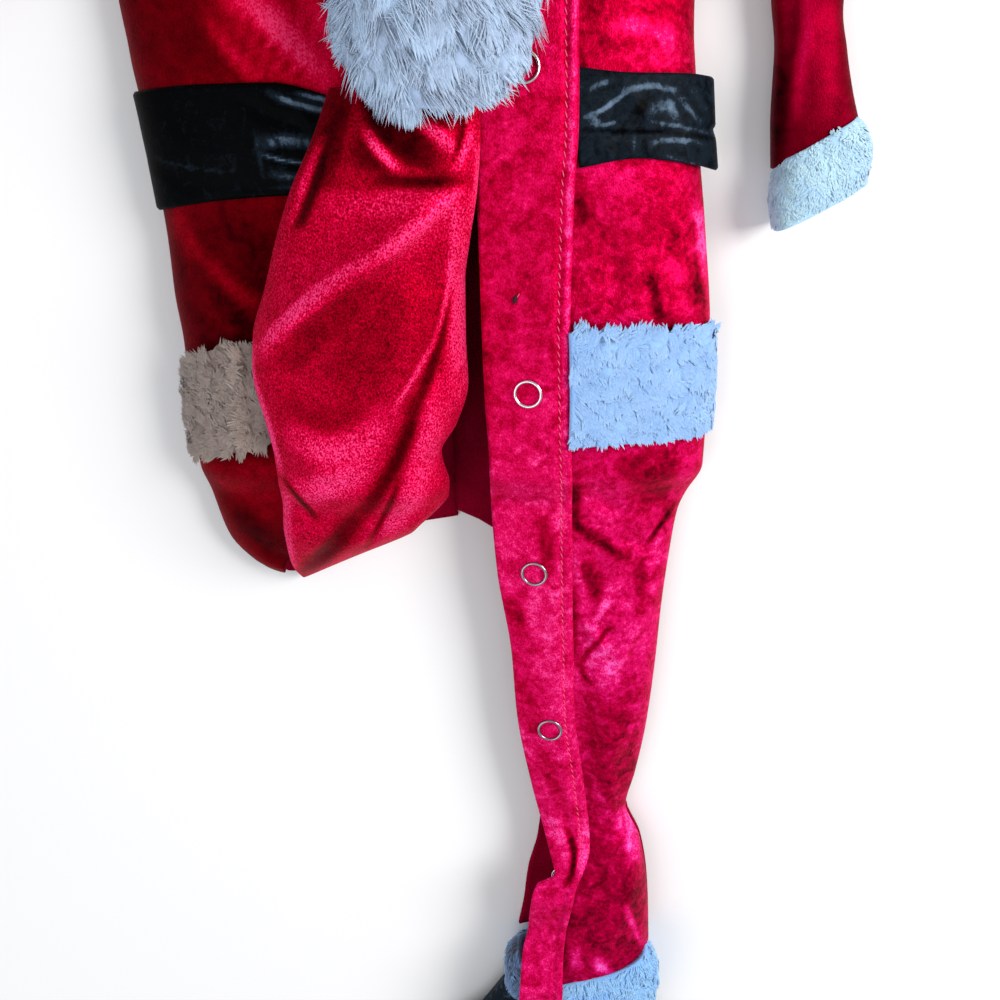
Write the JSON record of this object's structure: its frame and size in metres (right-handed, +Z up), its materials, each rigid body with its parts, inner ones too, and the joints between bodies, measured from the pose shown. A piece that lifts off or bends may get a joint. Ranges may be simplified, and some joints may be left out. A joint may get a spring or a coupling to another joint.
{
  "type": "santa suit",
  "caption": "Infant's footed coverall in crushed velvet with fur-pile trim, belt, snap-front band and beard bib, laid flat on its back with the right leg folded up.",
  "frame": {"origin": "on the flat underside of the wearer's left back, at the crotch", "axes": "+X towards the wearer's left, +Y towards the head, +Z up off the surface that the garment lies on"},
  "size_m": [0.403, 0.6327, 0.0667],
  "materials": {
    "velvet": "crushed pile, glossy along the lay of the pile",
    "velvet_inside": "matt knitted back of the velvet",
    "fur": "short curly fur pile, matt",
    "leather": "creased coated cloth with a leather look, glossy",
    "steel": "polished"
  },
  "bodies": {
    "root": {"front_left": "velvet", "front_right": "velvet", "leg_right_back": "velvet", "placket": "velvet", "sleeve_left": "velvet", "sleeve_right": "velvet", "neck_binding": "velvet", "back_left": "velvet_inside", "back_right": "velvet_inside", "leg_right_layers": "velvet_inside", "trim_left": "fur", "trim_right": "fur", "trim_back": "fur", "beard": "fur", "sleeve_cuff_left": "fur", "sleeve_cuff_right": "fur", "ankle_cuff_left": "fur", "ankle_cuff_right": "fur", "belt_left": "leather", "belt_right": "leather", "belt_back": "leather", "boot_left": "leather", "boot_right": "leather", "snap_1": "steel", "snap_2": "steel", "snap_3": "steel", "snap_4": "steel", "snap_5": "steel", "leg_left_front": "velvet", "leg_right_front": "velvet"}
  },
  "joints": []
}
